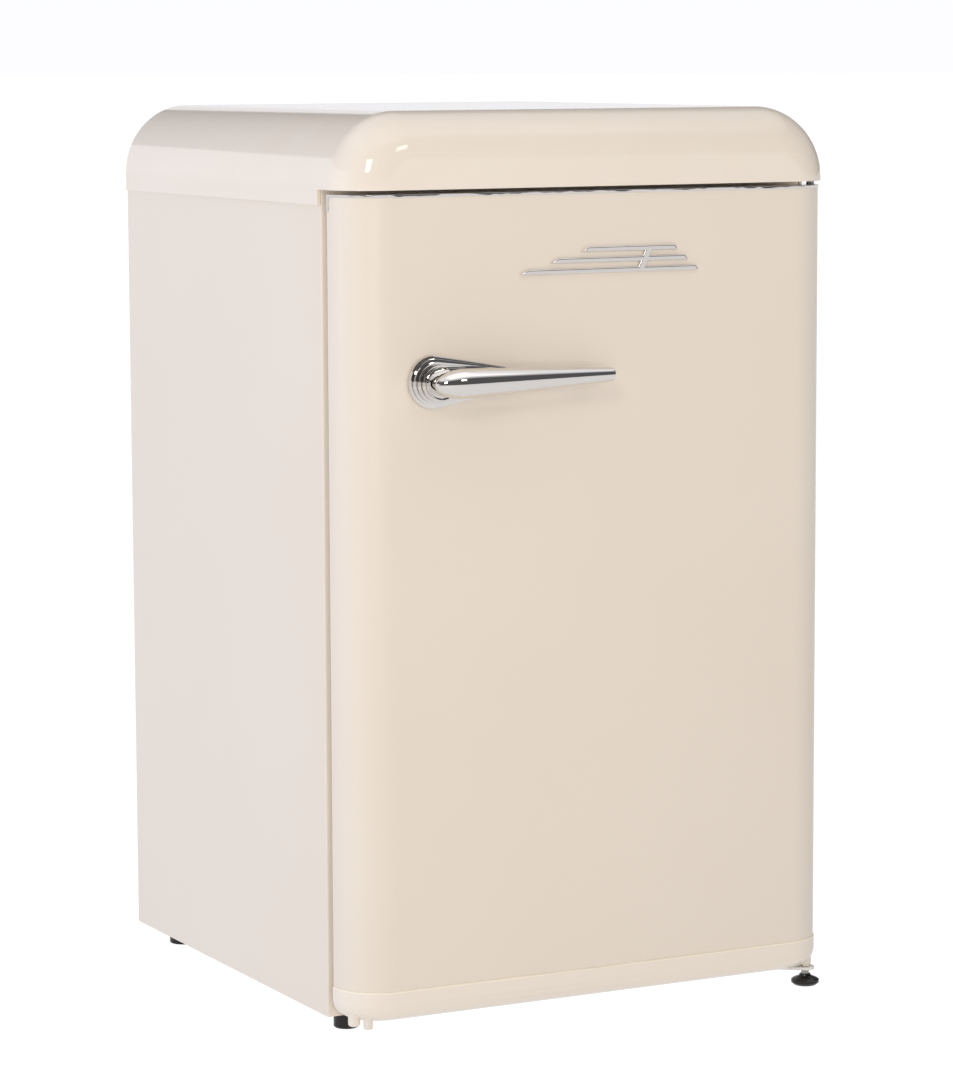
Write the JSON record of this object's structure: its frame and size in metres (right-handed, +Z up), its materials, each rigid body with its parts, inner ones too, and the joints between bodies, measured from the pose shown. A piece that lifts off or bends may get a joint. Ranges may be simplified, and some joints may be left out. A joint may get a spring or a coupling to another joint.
{
  "type": "under-counter refrigerator",
  "caption": "Free-standing retro larder fridge with rounded lid, crowned door, stepped chrome handle, glass shelves, crisper and door bins.",
  "frame": {"origin": "on the floor under the middle of the whole fridge's bounding box", "axes": "+X right seen from the front, +Y towards the back, +Z up; the door faces -Y"},
  "size_m": [0.5505, 0.6205, 0.9125],
  "materials": {
    "cream_paint": "gloss",
    "cream_plastic": "gloss",
    "zinc_sheet": "satin",
    "white_paint": "satin",
    "white_plastic": "satin",
    "white_peg": "satin",
    "foam": "matte",
    "chrome": "polished",
    "zinc_plate": "satin",
    "black_plastic": "matte",
    "black_paint": "satin",
    "rubber": "matte",
    "gasket": "matte",
    "clear_glass": "gloss",
    "clear_plastic": "gloss",
    "lamp_glass": "gloss",
    "copper": "satin",
    "aluminium": "satin",
    "grey_plastic": "matte"
  },
  "bodies": {
    "cabinet": {"bay_panel": "zinc_sheet", "bottom_front_rail": "cream_paint", "cabinet_foam": "foam", "cabinet_screws": "zinc_plate", "compressor_crossbar": "zinc_sheet", "compressor_grommets": "rubber", "compressor_shell": "black_paint", "condenser": "black_paint", "control_block": "white_plastic", "cord_gland": "black_plastic", "crisper_cover": "clear_glass", "crisper_drawer": "clear_plastic", "door_switch": "white_plastic", "drain_tube": "grey_plastic", "drip_tray": "black_plastic", "evaporator": "aluminium", "filter_dryer": "copper", "hinge_pins": "zinc_plate", "housing_cover": "white_plastic", "inner_liner": "white_plastic", "lamp_bulb": "lamp_glass", "lamp_cover": "clear_plastic", "left_foot_stud": "zinc_plate", "left_side_panel": "cream_paint", "lid_soffit": "cream_plastic", "lower_hinge_bracket": "white_paint", "lower_shelf_glass": "clear_glass", "rear_feet": "black_plastic", "rear_panel": "zinc_sheet", "relay_cover": "black_plastic", "right_side_panel": "cream_paint", "shelf_trims": "white_plastic", "suction_tube": "copper", "top_lid": "cream_plastic", "top_panel": "cream_paint", "upper_hinge_bracket": "zinc_plate", "upper_shelf_glass": "clear_glass", "wall_spacers": "black_plastic"},
    "door": {"door_skin": "cream_paint", "door_top_cap": "cream_plastic", "chrome_trim": "chrome", "door_bottom_cap": "cream_plastic", "door_pegs": "white_peg", "hinge_bushes": "white_peg", "door_liner": "white_plastic", "door_foam": "foam", "gasket": "gasket", "handle_rosette": "chrome", "handle_lever": "chrome", "handle_screws": "zinc_plate", "door_ornament": "chrome"},
    "lower_bin": {"lower_door_bin": "clear_plastic"},
    "middle_bin": {"middle_door_bin": "clear_plastic"},
    "upper_bin": {"upper_door_bin": "clear_plastic"},
    "egg_rack": {"egg_rack": "white_plastic"},
    "bottle_clip": {"bottle_clip": "white_plastic"},
    "thermostat_knob": {"thermostat_knob": "white_plastic"},
    "switch_plunger": {"switch_plunger": "white_plastic"},
    "right_foot": {"right_front_foot": "black_plastic"},
    "left_foot": {"left_front_foot": "black_plastic"}
  },
  "joints": [
    {"name": "door_swing", "type": "hinge", "parent": "cabinet", "child": "door", "pos_m": [0.261, -0.23075, 0.43], "axis": [0, 0, 1], "range_deg": [0, 120]},
    {"name": "lamp_switch_press", "type": "slide", "parent": "cabinet", "child": "switch_plunger", "axis": [0, -1, 0], "range_m": [0, 0.005]},
    {"name": "thermostat_turn", "type": "hinge", "parent": "cabinet", "child": "thermostat_knob", "pos_m": [0.196, -0.03875, 0.735], "axis": [-1, 0, 0], "range_deg": [0, 280]},
    {"name": "lower_bin_lift", "type": "slide", "parent": "door", "child": "lower_bin", "axis": [0, 0, 1], "range_m": [0, 0.025]},
    {"name": "middle_bin_lift", "type": "slide", "parent": "door", "child": "middle_bin", "axis": [0, 0, 1], "range_m": [0, 0.025]},
    {"name": "upper_bin_lift", "type": "slide", "parent": "door", "child": "upper_bin", "axis": [0, 0, 1], "range_m": [0, 0.025]},
    {"name": "egg_rack_lift", "type": "slide", "parent": "upper_bin", "child": "egg_rack", "axis": [0, 0, 1], "range_m": [0, 0.04]},
    {"name": "bottle_clip_slide", "type": "slide", "parent": "lower_bin", "child": "bottle_clip", "axis": [1, 0, 0], "range_m": [-0.14, 0.14]},
    {"name": "right_foot_travel", "type": "slide", "parent": "cabinet", "child": "right_foot", "axis": [0, 0, 1], "range_m": [-0.0025, 0.004]},
    {"name": "left_foot_travel", "type": "slide", "parent": "cabinet", "child": "left_foot", "axis": [0, 0, 1], "range_m": [-0.0025, 0.004]}
  ],
  "couplings": [
    {"joint": "lamp_switch_press", "follows": "door_swing", "m_per_rad": 0.0023873}
  ]
}
